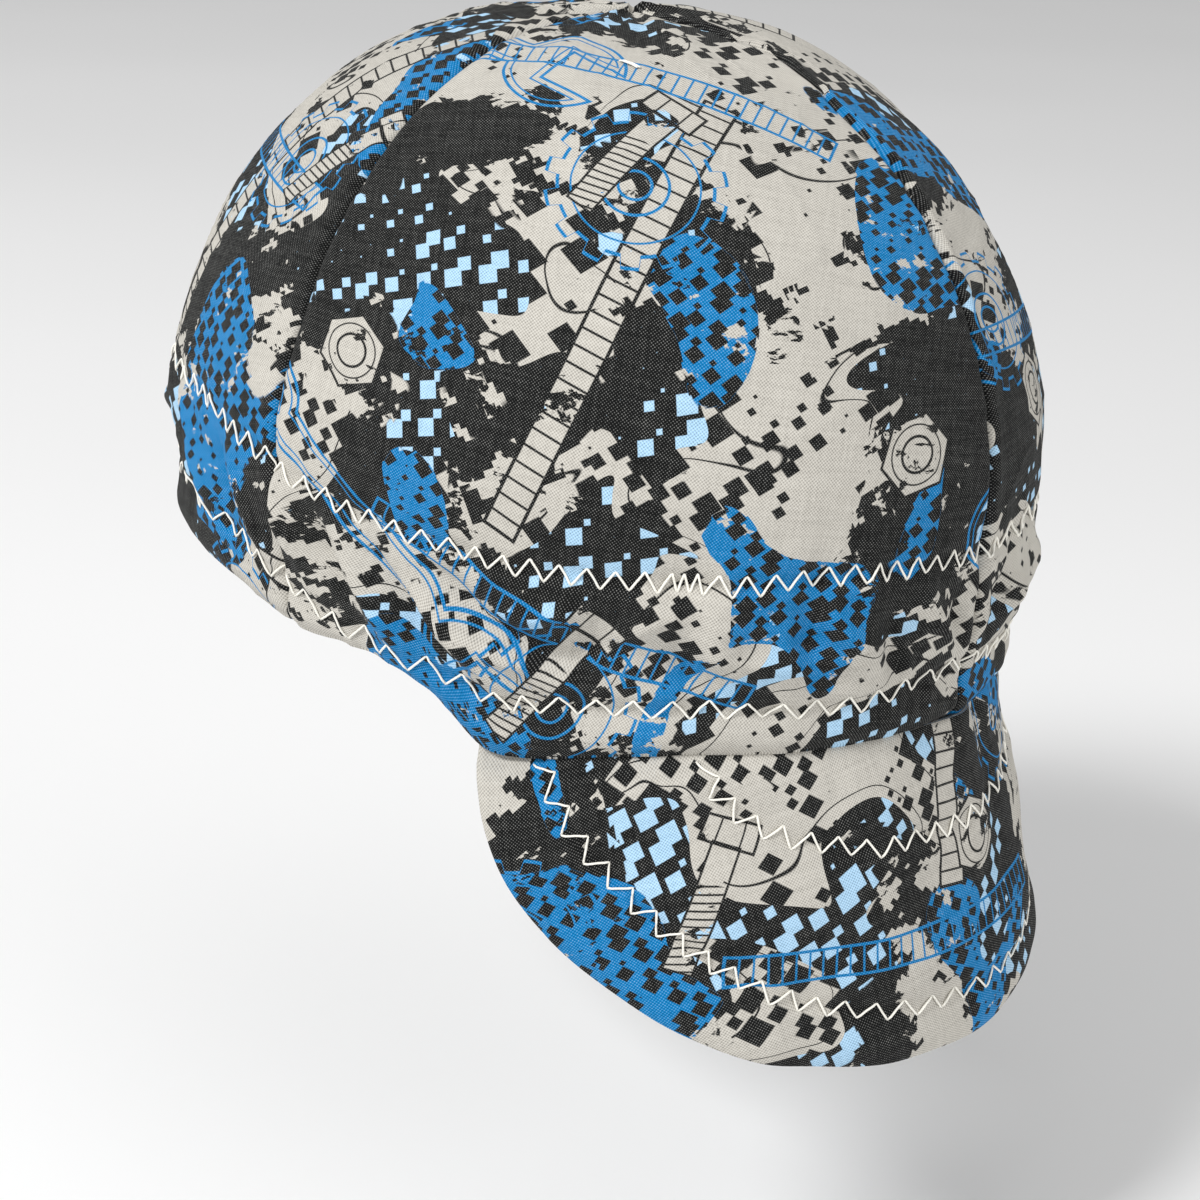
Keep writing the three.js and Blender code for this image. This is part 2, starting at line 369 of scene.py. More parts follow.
def cloth_shell(name, outer, inner, places, edge_down, outside, inside, inner_places=None):
    """A closed wall of cloth from two grids whose rows run upwards, with a rounded lower edge.
    places are the cloth's own coordinates, kept as an attribute for its print."""
    rows, columns = outer.shape[:2]
    middle = (outer[0] + inner[0]) / 2
    half = (outer[0] - inner[0]) / 2
    reach = np.linalg.norm(half, axis=-1, keepdims=True)
    lips = []
    for turn in (math.pi / 4, math.pi / 2, 3 * math.pi / 4):
        lips.append(middle + half * math.cos(turn) + edge_down * reach * math.sin(turn))
    # from the inner top, down and round the lip, to the outer top
    loop = np.concatenate([inner[::-1], np.array(lips[::-1]), outer])
    lip_places = np.repeat(places[:1], 3, axis=0)
    inner_places = places if inner_places is None else inner_places
    loop_places = np.concatenate([inner_places[::-1], lip_places, places])
    numbers = np.arange(len(loop) * columns).reshape(-1, columns)
    faces = [tuple(q) for q in grid_faces(numbers)]
    slots = [1] * ((rows - 1) * (columns - 1))
    slots += [0] * (len(faces) - len(slots))
    # the two side edges and the top edge join outer to inner
    outer_rows = numbers[rows + 3:]
    inner_rows = numbers[:rows][::-1]
    for i in range(rows - 1):
        faces.append((inner_rows[i][0], outer_rows[i][0], outer_rows[i + 1][0], inner_rows[i + 1][0]))
        faces.append((outer_rows[i][-1], inner_rows[i][-1], inner_rows[i + 1][-1], outer_rows[i + 1][-1]))
        slots += [0, 0]
    for j in range(columns - 1):
        faces.append((outer_rows[-1][j], outer_rows[-1][j + 1], inner_rows[-1][j + 1], inner_rows[-1][j]))
        slots.append(0)
    lip = [numbers[rows + k] for k in range(3)]
    faces.append((inner_rows[0][0], lip[0][0], lip[1][0], lip[2][0], outer_rows[0][0])[::-1])
    faces.append((inner_rows[0][-1], lip[0][-1], lip[1][-1], lip[2][-1], outer_rows[0][-1]))
    slots += [0, 0]
    piece = make_mesh(name, loop.reshape(-1, 3), faces)
    piece.data.materials.append(outside)
    piece.data.materials.append(inside)
    piece.data.polygons.foreach_set("material_index", slots)
    place = piece.data.attributes.new("cloth_place", "FLOAT_VECTOR", "POINT")
    place.data.foreach_set("vector", loop_places.reshape(-1, 3).astype(np.float32).ravel())
    return piece


def turned(places, degrees, shift_x, shift_y, layer):
    """Cloth coordinates turned and moved, as each panel is cut from another place in the cloth."""
    turn = math.radians(degrees)
    x, y = places[..., 0], places[..., 1]
    return np.stack([
        x * math.cos(turn) - y * math.sin(turn) + shift_x,
        x * math.sin(turn) + y * math.cos(turn) + shift_y,
        0 * x + layer,
    ], -1)


def cumulative(points, axis):
    """How far along each point is, from the first."""
    step = np.linalg.norm(np.diff(points, axis=axis), axis=-1)
    start = np.zeros_like(np.take(step, [0], axis=axis))
    return np.concatenate([start, np.cumsum(step, axis=axis)], axis=axis)


def crown_heights(angle, rows_low, rows_dome):
    """Heights of a panel's rows at each angle: rim to widest level, then over the dome."""
    rim = rim_height(angle)
    low = rim[None] + (WIDEST_HEIGHT - rim[None]) * np.linspace(0, 1, rows_low + 1)[:, None]
    climb = np.sin(np.linspace(0, math.pi / 2, rows_dome + 1)[1:]) ** (2 / DOME_POWER_UP)
    climb[-1] = 1 - 1e-5
    dome = WIDEST_HEIGHT + (CROWN_HEIGHT - WIDEST_HEIGHT) * climb
    return np.concatenate([low, np.repeat(dome[:, None], len(angle), axis=1)])


def arc_up(height):
    """How far up the cloth a height is, along the line at the side of the cap."""
    below_rim = -30.0
    rows = crown_heights(np.array([SIDE_SEAM / 2]), ROWS_TO_WIDEST, ROWS_OVER_DOME)[:, 0]
    rows = np.concatenate([[below_rim], rows])
    return np.interp(height, rows, cumulative(crown(SIDE_SEAM / 2, rows), 0))


def crown_surface(angle, height, start, end):
    """A point on the worn crown, on the panel from start to end, and the outward direction there."""
    smooth = crown(angle, height)
    reach = np.hypot(smooth[..., 0], smooth[..., 1])
    to_start = np.radians(angle - start) * reach
    to_end = np.radians(end - angle) * reach
    out = crown_out(angle, height)
    relief = crown_relief(angle, height, to_start, to_end, arc_up(height))
    # a soft dent beside the top
    beside = np.radians(angle - DENT_ANGLE) * DENT_REACH
    beyond = reach - DENT_REACH
    relief = relief - DENT_DEPTH * bell(beyond / DENT_HALF_LENGTH) * bell(beside / DENT_HALF_WIDTH)
    return smooth + out * relief[..., None], out


def panel_places(turn, across, climb, heights):
    """The place on the flat cloth of each point of a panel. The threads keep nearly square towards
    the top, where they run past the middle line instead of round the crown."""
    widest = np.interp(WIDEST_HEIGHT, heights[:, 0], climb[:, 0])
    ball = (climb[-1, 0] - widest) / (math.pi / 2)
    down = np.clip((climb[-1:] - climb) / ball, 1e-4, math.pi / 2)
    turn = np.radians(np.where(np.abs(turn) < 1e-3, 1e-3, turn))
    share = np.cos(down)
    narrowed = np.arcsin(np.sin(down) * np.sin(turn)) / (turn * np.sin(down))
    raised = ball * (down - np.arctan2(np.sin(down) * np.cos(turn), np.cos(down)))
    x = (across - across[:, -1:] / 2) * (1 + share * (narrowed - 1))
    return np.stack([x, climb + share * raised], -1)


def dress(piece, node=None):
    """Hides the CAD node that the piece stands for, if one is given, and hangs the piece on the root body.
    """
    if node:
        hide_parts(node)
    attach(piece, "root")
    return piece


def crown_panel(name, node, start, end, cut, outside, inside):
    """One cloth panel of the crown, from one seam to the next."""
    columns = int((end - start) * COLUMNS_PER_DEGREE / FINE)
    # the columns stand closer together beside the seams
    crowding = 0.62
    share = np.linspace(0, 1, columns + 1)
    share = share - crowding * np.sin(2 * math.pi * share) / (2 * math.pi)
    angles = start + (end - start) * share
    heights = crown_heights(angles, int(ROWS_TO_WIDEST / FINE), int(ROWS_OVER_DOME / FINE))
    smooth = crown(angles[None], heights)
    reach = np.hypot(smooth[..., 0], smooth[..., 1])
    shy = np.degrees(np.minimum(SEAM_GAP / 2 / np.maximum(reach, 0.05), 0.4))
    angle = start + shy + (end - start - 2 * shy) * share[None]
    smooth = crown(angle, heights)
    across = cumulative(smooth, 1)
    climb = cumulative(smooth, 0)[:, columns // 2][:, None] + 0 * across
    outer, out = crown_surface(angle, heights, start, end)
    # thicker at the turned-up hem and at the seam allowances, which end softly
    hem_step, allowance_step, allowance_end = 0.35, 0.4, 4
    hem_top = along(UPPER_ROW_HEIGHT, angle) + HEM_PAST_ROW
    in_hem = 1 / (1 + np.exp((heights - hem_top) / hem_step))
    to_seam = np.minimum(across, across[:, -1:] - across)
    near_seam = 1 / (1 + np.exp((to_seam - ALLOWANCE) / allowance_step))
    near_seam = near_seam * np.clip((CROWN_HEIGHT - heights) / allowance_end, 0, 1)
    thick = CLOTH + (HEM - CLOTH) * in_hem + ALLOWANCE_CLOTH * near_seam
    inner = outer - out * thick[..., None]
    places = turned(panel_places(angle - (start + end) / 2, across, climb, heights), *cut)
    piece = cloth_shell(name, outer, inner, places, np.array([0, 0, -1.0]), outside, inside)
    return dress(piece, node)


def off_row(outline, angle, length):
    """How far a point on the brim lies from a row that follows an outline."""
    half = outline[0] - 0.1
    return np.abs(length - rounded(outline, np.clip(angle, -half, half)))


def brim_relief(angle, length):
    """How far the worn cloth stands off the smooth brim, in mm."""
    across = np.radians(angle) * MEAN_REACH
    relief = waves(across, length, [(2.2, 36, 30, 12.3), (1.1, 13, 16, 14.1)]) * np.clip(length / 12, 0, 1)
    # pulls of the cloth down from the rim's seam
    pulls = waves(across, length, [(0.7, 9, 40, 41.3), (0.35, 4.5, 20, 43.9)])
    relief = relief + pulls * np.exp(-length / 11) * np.clip(length / 2.5, 0, 1)
    # each row lies in a furrow, with puckers beside it
    furrow, furrow_width, pucker_reach = 0.85, 2.1, 6
    outer_row = off_row(OUTER_BRIM_ROW, angle, length)
    inner_row = off_row(INNER_BRIM_ROW, angle, length)
    relief = relief - furrow * (bell(outer_row / furrow_width) + bell(inner_row / furrow_width))
    puckers = waves(across, length, [(0.85, 5.5, 5.5, 16.4)])
    relief = relief + puckers * np.exp(-np.minimum(outer_row, inner_row) / pucker_reach)
    # a soft crease down from the rim, a little past the middle, and the swell beside it
    crease, crease_at, crease_width, crease_length = 2.6, 9, 3.0, 46
    swell, swell_at, swell_width = 1.4, 2, 4.5
    dip = swell * bell((angle - swell_at) / swell_width)
    dip = dip - crease * bell((angle - crease_at) / crease_width)
    relief = relief + dip * np.clip(1 - length / crease_length, 0, 1)
    # the cloth is drawn in at the rim's seam and its edge turns in a little
    to_edge = rounded(BRIM_OUTLINE, angle) - length
    relief = relief + rolled_edge(length, dip=1.1, dip_reach=2.2, puff=0.35, puff_at=6, puff_width=3.5)
    return relief + rolled_edge(to_edge, dip=0.7, dip_reach=1.5, puff=0.35, puff_at=4.5, puff_width=2.6)


def brim_cloth(material):
    """The two layers of the brim, as one closed wall that is thinner at its edge."""
    columns = int(BRIM_COLUMNS / FINE)
    rows = int(BRIM_ROWS / FINE)
    # the columns stand closer together towards the brim's two ends
    end_turn, crowding, end_share = 88, 0.35, 0.9985
    turn = np.radians(np.linspace(-end_turn, end_turn, columns + 1))
    angles = crowding * np.sin(turn) + (1 - crowding) * turn / turn[-1]
    angles = angles / angles[-1] * BRIM_HALF_ANGLE * end_share
    depth = rounded(BRIM_OUTLINE, angles)
    down = np.linspace(1, 0, rows + 1)[:, None]
    angle = np.repeat(angles[None], rows + 1, axis=0)
    length = depth[None] * down
    out = rim_out(angle)
    outer = brim_face(angle, length) + out * brim_relief(angle, length)[..., None]
    pinch_reach, edge_share = 2.5, 0.55
    pinch = np.clip((depth[None] - length) / pinch_reach + edge_share, 0, 1)
    inner = outer - out * (BRIM_CLOTH * pinch)[..., None]
    across = np.radians(angle) * BRIM_REACH
    face = turned(np.stack([across, -length], -1), *BRIM_CUT)
    under = turned(np.stack([-across, -length], -1), *UNDER_BRIM_CUT)
    # the rounded lip follows the edge outwards
    slope = unit(outer[0] - outer[1])
    piece = cloth_shell("brim_cloth", outer, inner, face, slope, material, material, under)
    return dress(piece, "brim")


def smooth_path(points, steps):
    """A Catmull-Rom curve through the points."""
    p = np.concatenate([2 * points[:1] - points[1:2], points, 2 * points[-1:] - points[-2:-1]])
    t = (np.arange(steps) / steps)[:, None, None]
    a, b, c, d = p[:-3], p[1:-2], p[2:-1], p[3:]
    square, cube = 2 * a - 5 * b + 4 * c - d, 3 * b - a - 3 * c + d
    curve = 0.5 * (2 * b + (c - a) * t + square * t ** 2 + cube * t ** 3)
    return np.concatenate([curve.transpose(1, 0, 2).reshape(-1, 3), points[-1:]])


def tubes(name, paths, radius, material):
    """Closed tubes of thread along each path, as one piece."""
    askew = np.array([0.31, 0.22, 0.92])
    points, faces = [], []
    for path in paths:
        way = unit(np.gradient(path, axis=0))
        side = unit(np.cross(way, askew))
        other = np.cross(way, side)
        start = len(points)
        for corner in range(THREAD_SIDES):
            turn = 2 * math.pi * corner / THREAD_SIDES
            points.extend(path + radius * (math.cos(turn) * side + math.sin(turn) * other))
        n = len(path)
        for corner in range(THREAD_SIDES):
            s, t = start + corner * n, start + (corner + 1) % THREAD_SIDES * n
            faces.extend((s + i, t + i, t + i + 1, s + i + 1) for i in range(n - 1))
        faces.append(tuple(start + corner * n for corner in range(THREAD_SIDES))[::-1])
        faces.append(tuple(start + corner * n + n - 1 for corner in range(THREAD_SIDES)))
    piece = make_mesh(name, points, faces)
    piece.data.materials.append(material)
    return dress(piece)


def sewn(face, corners):
    """The line of the thread through its corners: each leg bows a little off the cloth and dips
    into it at its ends."""
    lift = np.array([-0.35, 0.12, 0.3, 0.36, 0.3, 0.12, -0.35])
    sunk = 0.55
    t = np.linspace(0, 1, len(lift))
    ways = []
    for (a0, o0), (a1, o1) in zip(corners[:-1], corners[1:]):
        point, out = face(a0 + (a1 - a0) * t, o0 + (o1 - o0) * t)
        ways.append(point + out * (lift + THREAD_RADIUS * sunk)[:, None])
    return ways


def crown_row(name, table, period, height, seed, start, dense, material):
    """A row of zigzag stitches round the crown. dense gives the two angles between which the row is sewn
    closer."""
    def face(angle, off):
        angle = (np.asarray(angle, float) + 180) % 360 - 180
        k = np.clip(np.searchsorted(PANEL_EDGES, angle, side="right"), 1, 4)
        return crown_surface(angle, along(table, angle) + off, PANEL_EDGES[k - 1], PANEL_EDGES[k])

    whole_turn, dense_share = 360.5, 0.45
    luck = np.random.default_rng(seed)
    corners, angle, side = [], start, 1.0
    while angle < start + whole_turn:
        step = period / 2 * (1 + luck.normal(0, 0.05))
        if dense[0] < angle < dense[1]:
            step *= dense_share
        off = side * height / 2 * (1 + luck.normal(0, 0.06)) + luck.normal(0, 0.12)
        corners.append((angle, off))
        angle += step / ROW_PER_DEGREE
        side = -side
    return tubes(name, sewn(face, corners), THREAD_RADIUS, material)


def brim_row(name, outline, period, height, seed, material):
    """A row that follows a rounded outline on the brim, from the rim round to the rim."""
    end_turn, samples = math.radians(88), 1500
    angles = outline[0] * np.sin(np.linspace(-end_turn, end_turn, samples)) / math.sin(end_turn)
    depth = rounded(outline, angles)
    smooth = brim_face(angles, depth)
    run = cumulative(smooth, 0)
    slope_out = unit(np.gradient(smooth, axis=0))

    def face(distance, off):
        angle = np.interp(distance, run, angles)
        length = np.interp(distance, run, depth)
        way = np.stack([np.interp(distance, run, slope_out[:, i]) for i in range(3)], -1)
        out = rim_out(angle)
        # off the line, measured across it on the brim's face
        down = unit(brim_face(angle, length + 0.5) - brim_face(angle, length - 0.5))
        across = unit(np.cross(out, np.array([0, 0, 1.0])))
        side = unit(np.cross(way, out))
        moved_down = off * np.sum(side * down, -1)
        moved_across = off * np.sum(side * across, -1)
        new_angle = angle - np.degrees(moved_across / ROW_REACH)
        new_length = np.maximum(length + moved_down, 0.3)
        point = brim_face(new_angle, new_length)
        relief = brim_relief(new_angle, new_length)
        return point + out * relief[..., None], out

    end_gap = 1.0
    luck = np.random.default_rng(seed)
    corners, at, side = [], end_gap, 1.0
    while at < run[-1] - end_gap:
        step = period / 2 * (1 + luck.normal(0, 0.06))
        corners.append((at, side * height / 2 * (1 + luck.normal(0, 0.07))))
        at += step
        side = -side
    return tubes(name, sewn(face, corners), THREAD_RADIUS, material)


def loose_thread(material):
    """The loose end of thread, of two strands that are finer than the sewn thread."""
    finer, steps = 0.8, 6
    strands = []
    for strand in (0, 1):
        spots = []
        for angle, reach, lift in LOOSE_END:
            turn = math.radians(angle + strand * STRAND_STEP)
            share = reach / math.hypot(LENGTH_TO_BRIM * math.cos(turn), HALF_WIDTH * math.sin(turn))
            climb = (1 - share ** DOME_POWER_OUT) ** (1 / DOME_POWER_UP)
            height = WIDEST_HEIGHT + (CROWN_HEIGHT - WIDEST_HEIGHT) * climb
            spot, out = crown_surface(np.array(math.degrees(turn)), np.array(height), -SIDE_SEAM, 0.0)
            spots.append(spot + out * lift)
        strands.append(smooth_path(np.array(spots), steps))
    return tubes("thread_end", strands, THREAD_RADIUS * finer, material)


class Wire:
    """A value in a material, so that its sums can be written as sums."""

    def __init__(self, paint, socket):
        self.paint = paint
        self.socket = socket

    def __add__(self, other):
        return self.paint.math("ADD", self, other)

    def __radd__(self, other):
        return self.paint.math("ADD", other, self)

    def __sub__(self, other):
        return self.paint.math("SUBTRACT", self, other)

    def __rsub__(self, other):
        return self.paint.math("SUBTRACT", other, self)

    def __mul__(self, other):
        return self.paint.math("MULTIPLY", self, other)

    def __truediv__(self, other):
        return self.paint.math("DIVIDE", self, other)

    def __abs__(self):
        return self.paint.math("ABSOLUTE", self)


class Paint:
    """The nodes of one material."""

    def __init__(self, name):
        self.material = bpy.data.materials.new(name)
        self.material.use_nodes = True
        self.tree = self.material.node_tree
        self.tree.nodes.clear()
        self.output = self.node("OutputMaterial")

    def node(self, kind, values=(), **options):
        """A new node of a kind, with values or wires in its first sockets."""
        node = self.tree.nodes.new("ShaderNode" + kind)
        for name, value in options.items():
            setattr(node, name, value)
        for value, socket in zip(values, node.inputs):
            self.join(value, socket)
        return node

    def join(self, value, socket):
        if isinstance(value, Wire):
            self.tree.links.new(value.socket, socket)
        else:
            socket.default_value = value

    def math(self, operation, *values, clamp=False):
        return Wire(self, self.node("Math", values, operation=operation, use_clamp=clamp).outputs[0])

    def low(self, a, b):
        return self.math("MINIMUM", a, b)

    def high(self, a, b):
        return self.math("MAXIMUM", a, b)

    def place(self):
        """The cloth's own coordinates, in mm."""
        return self.parts(self.node("Attribute", attribute_name="cloth_place").outputs["Vector"])[:2]

    def spot(self):
        """The place on a piece in its own coordinates, in mm."""
        return [part * (1 / METRES) for part in self.parts(self.node("TexCoord").outputs["Object"])]

    def parts(self, socket):
        """The three numbers of a vector."""
        split = self.node("SeparateXYZ", [Wire(self, socket)])
        return [Wire(self, part) for part in split.outputs]

    def vector(self, x, y, z=0.0):
        return Wire(self, self.node("CombineXYZ", (x, y, z)).outputs[0])

    def noise(self, x, y, size, detail=0.0, rough=0.5, warp=0.0, z=0.0):
        node = self.node("TexNoise", [self.vector(x, y, z)], noise_dimensions="3D")
        node.inputs["Scale"].default_value = 1 / size
        node.inputs["Detail"].default_value = detail
        node.inputs["Roughness"].default_value = rough
        node.inputs["Distortion"].default_value = warp
        return Wire(self, node.outputs["Fac"])

    def luck(self, x, y):
        node = self.node("TexWhiteNoise", [self.vector(x, y)], noise_dimensions="2D")
        return Wire(self, node.outputs["Value"])

    def above(self, value, level, soft):
        """1 where the value is above the level, with an edge that soft says the width of."""
        return self.math("MULTIPLY_ADD", value, 1 / soft, 0.5 - level / soft, clamp=True)

    def within(self, distance):
        """1 where a distance is below 0."""
        soft = 0.16
        return self.math("MULTIPLY_ADD", distance, -1 / soft, 0.5, clamp=True)

    def mix(self, share, a, b, kind="MIX"):
        node = self.node("Mix", [share], data_type="RGBA", blend_type=kind)
        for value, socket in zip((a, b), node.inputs[6:8]):
            self.join(value, socket)
        return Wire(self, node.outputs[2])

    def turned(self, x, y, degrees):
        c, s = math.cos(math.radians(degrees)), math.sin(math.radians(degrees))
        return x * c + y * s, y * c - x * s

    def repeated(self, value, period):
        """The value wrapped to from minus half a period to half of it."""
        return self.math("WRAP", value, period / 2, -period / 2)

    def motif(self, x, y, at, degrees, period):
        """Coordinates of a motif that repeats on the cloth."""
        u = self.repeated(x - at[0], period[0])
        v = self.repeated(y - at[1], period[1])
        return self.turned(u, v, degrees)

    def box(self, x, y, half_x, half_y):
        return self.high(abs(x) - half_x, abs(y) - half_y)

    def disc(self, x, y, radius):
        return self.math("SQRT", x * x + y * y) - radius

    def hexagon(self, x, y, radius):
        a, b = abs(x), abs(y)
        return self.high(b, a * math.sqrt(0.75) + b * 0.5) - radius

    def bar(self, x, y, half_length, radius):
        beyond = self.high(abs(x) - half_length, 0.0)
        return self.math("SQRT", beyond * beyond + y * y) - radius

    def line(self, distance, width):
        return self.within(abs(distance) - width / 2)

    def any_of(self, *masks):
        """1 where any of the masks is."""
        result = masks[0]
        for mask in masks[1:]:
            result = self.high(result, mask)
        return result

    def surface(self, colour, height, bump_strength, bump_depth, **settings):
        """The shader, with a bump of the height where there is one. Settings go on its sockets."""
        shader = self.node("BsdfPrincipled", [colour])
        for name, value in settings.items():
            shader.inputs[name.replace("_", " ")].default_value = value
        if height:
            bump = self.node("Bump")
            bump.inputs["Strength"].default_value = bump_strength
            bump.inputs["Distance"].default_value = bump_depth * METRES
            self.join(height, bump.inputs["Height"])
            self.join(Wire(self, bump.outputs[0]), shader.inputs["Normal"])
        self.join(Wire(self, shader.outputs[0]), self.output.inputs[0])
        return self.material


def srgb(r, g, b):
    def one(v):
        v = v / 255
        return v / 12.92 if v <= 0.04045 else ((v + 0.055) / 1.055) ** 2.4

    return (one(r), one(g), one(b), 1.0)


GREIGE = srgb(196, 192, 183)
CHARCOAL = srgb(20, 21, 21)
AZURE = srgb(10, 124, 186)
PALE_BLUE = srgb(172, 210, 238)
UNPRINTED = srgb(196, 194, 188)
# The paler crowns of the threads: partly worn print, partly painted highlight
THREAD_CROWN_WEAR_AND_HIGHLIGHT = srgb(182, 182, 178)

# Soft camouflage patches of the print
CAMO_SIZE = 38.0
CAMO_LEVEL = 0.485

# Fields of printed squares, as (grid in mm, direction in degrees, skew, growth of the squares with
# the field, its level, share left out, largest half width as a share of the grid)
EDGE_SQUARES = (13.5, 40.0, 0.12, 5.2, 0.8 - 5.2 * CAMO_LEVEL, 0.1, 0.28)
SMALL_SQUARES = (6.2, 38.0, 0.1, 6.0, -2.55, 0.12, 0.28)
PALE_SQUARES = (7.4, 18.0, -0.12, 6.0, -2.3, 0.1, 0.27)
AZURE_SQUARES = (5.2, 44.0, 0.1, 3.2, -0.45, 0.05, 0.3)

# The noise that a field follows, as (shift across, shift up, size, detail, warp)
SMALL_FIELD = (-51.0, 18.0, 30.0, 0.5, 0.2)
PALE_FIELD = (17.0, -133.0, 33.0, 0.4, 0.3)
AZURE_FIELD = (240.0, 15.0, 28.0, 0.4, 0.2)


def squares(paint, x, y, size, degrees, skew, field):
    """Printed squares on a turned and skewed grid. field gives each square's half width, as a
    share of the grid, from the place of its middle on the cloth."""
    u, v = paint.turned(x, y, degrees)
    u = (u + v * skew) / size
    v = v / size
    cell_u, cell_v = paint.math("FLOOR", u), paint.math("FLOOR", v)
    luck = paint.luck(cell_u, cell_v)
    other = paint.luck(cell_u + 37.0, cell_v - 11.0)
    part_u = u - cell_u - 0.5 + (luck - 0.5) * 0.16
    part_v = v - cell_v - 0.5 + (other - 0.5) * 0.14
    mid_v = (cell_v + 0.5) * size
    mid_u = (cell_u + 0.5) * size - mid_v * skew
    back_x, back_y = paint.turned(mid_u, mid_v, -degrees)
    half = field(back_x, back_y, luck) * (0.8 + other * 0.3)
    first = paint.high(abs(part_u + 0.17), abs(part_v + 0.19)) - half
    second = paint.high(abs(part_u - 0.19), abs(part_v - 0.15)) - half * (0.35 + other * 0.75)
    return paint.within(paint.low(first, second) * size)


def square_field(paint, x, y, row, followed=None):
    """A field of printed squares, which follow the camouflage where no noise is given."""
    grid, degrees, skew, growth, level, spared, largest = row

    def half_width(a, b, luck):
        if followed:
            shift_a, shift_b, size, detail, warp = followed
            field = paint.noise(a + shift_a, b + shift_b, size, detail, 0.4, warp)
        else:
            field = camouflage(paint, a, b)
        near = paint.math("MULTIPLY_ADD", field, growth, level, clamp=True)
        return near * paint.above(luck, spared, 0.02) * largest

    return squares(paint, x, y, grid, degrees, skew, half_width)


def camouflage(paint, x, y):
    return paint.noise(x, y * 1.15, CAMO_SIZE, detail=0.6, rough=0.4, warp=0.9)


def stepped(paint, x, y, size):
    """The cloth in small blocks, for edges that go in steps."""
    degrees = 33.0
    u, v = paint.turned(x, y, degrees)
    block_u = (paint.math("FLOOR", u / size) + 0.5) * size
    block_v = (paint.math("FLOOR", v / size) + 0.5) * size
    return paint.turned(block_u, block_v, -degrees)


def ground(paint, x, y, torn, blocks):
    """The patches and fields of squares, whole in some places and worn in others."""
    coarse_x, coarse_y = stepped(paint, x, y, 3.1)
    edge = paint.noise(coarse_x, coarse_y, 9.0, detail=0.5, z=6.0)
    patch = camouflage(paint, x, y)
    azure = paint.noise(x + 333.0, y * 0.8 + 71.0, 38.0, detail=0.4, rough=0.4, warp=0.7)
    wear = paint.noise(x + 90.0, y - 40.0, 36.0, detail=0.8, warp=0.3)
    worn = paint.above(wear + (edge - 0.5) * 0.16, 0.53, 0.004)

    # patches with smooth edges, and worn places where the print goes in small torn blocks
    solid = paint.above(patch, CAMO_LEVEL + 0.03, 0.0015)
    ragged = paint.above(blocks + (patch - CAMO_LEVEL) * 1.1, 0.5, 0.004)
    flecks = paint.above(torn + (patch - CAMO_LEVEL) * 0.7, 0.57, 0.015)
    grown = square_field(paint, x, y, EDGE_SQUARES)
    whole = paint.any_of(solid, grown, square_field(paint, x, y, SMALL_SQUARES, SMALL_FIELD))
    dark = paint.mix(worn, whole, paint.any_of(ragged, flecks))
    azure_mask = paint.above(azure + (edge - 0.5) * 0.03, 0.625, 0.0015)
    azure_torn = azure_mask * paint.above(blocks + torn, 0.83, 0.02)

    # a thin line that follows each patch a little way off
    contour = paint.within((abs(patch - CAMO_LEVEL + 0.035) - 0.0035) * 60.0) * (1.0 - worn)
    colour = paint.mix(paint.any_of(dark, contour), GREIGE, CHARCOAL)
    pale = square_field(paint, x, y, PALE_SQUARES, PALE_FIELD) * solid * (1.0 - worn)
    colour = paint.mix(pale, colour, PALE_BLUE)
    colour = paint.mix(azure_torn, colour, AZURE)
    holes = square_field(paint, x, y, AZURE_SQUARES, AZURE_FIELD)
    return paint.mix(azure_mask * holes, colour, CHARCOAL)


def steel_rule(paint, u, v, half_length, half_width, mark_step, mark, edge):
    """The face of a steel rule, and the ladder of its two edges and many short marks."""
    face = paint.box(u, v, half_length, half_width)
    marks = paint.within(abs(paint.repeated(u, mark_step)) - mark)
    marks = marks * paint.within(abs(v) - half_width) * paint.within(abs(u) - (half_length - 1.0))
    return paint.within(face), paint.any_of(paint.line(face, edge), marks)


def spanner(paint, u, v):
    """A spanner in double lines: an open jaw at one end and a ring at the other."""
    jaw_at, ring_at = 36.0, 35.0
    shaft = paint.bar(u, v, 30.0, 4.2)
    jaw = paint.disc(u - jaw_at, v, 12.5)
    gap = paint.box(u - jaw_at - 7.0, v, 8.5, 5.4)
    ring = paint.disc(u + ring_at, v, 9.6)
    hole = paint.hexagon(u + ring_at, v, 4.8)
    shape = paint.high(paint.low(paint.low(shaft, jaw), ring), 0.0 - gap)
    return paint.any_of(paint.line(shape, 0.7), paint.line(shape + 1.6, 0.4), paint.line(hole, 0.6))


def gear(paint, u, v):
    """A gear wheel with a line inside its rim and two round its hub."""
    teeth, tooth, root = 14.0, 2.4, 15.0
    wave = paint.math("SINE", paint.math("ARCTAN2", v, u) * teeth)
    wave = paint.math("MULTIPLY_ADD", wave, 2.6, 0.5, clamp=True)
    radius = paint.disc(u, v, 0.0)
    rings = [paint.line(radius - at, width) for at, width in ((12.4, 0.4), (6.5, 0.6), (3.2, 0.6))]
    return paint.any_of(paint.line(radius - wave * tooth - root, 0.7), *rings)


def bolt(paint, u, v):
    """The face of a bolt and its lines: head, slot, shank and thread."""
    head_at, shank_width, pitch = 16.0, 2.9, 1.7
    head = paint.box(u - head_at, v, 2.8, 5.8)
    slot = paint.box(u - head_at, v, 2.8, 2.6)
    shank = paint.box(u, v, 13.6, shank_width)
    marks = paint.within(abs(paint.repeated(u + v * 0.3, pitch)) - 0.22)
    marks = marks * paint.within(abs(v) - shank_width) * paint.within(abs(u + 4.0) - 9.6)
    lines = paint.any_of(paint.line(head, 0.6), paint.line(shank, 0.5), paint.line(slot, 0.4), marks)
    return paint.within(paint.low(head, shank)), lines


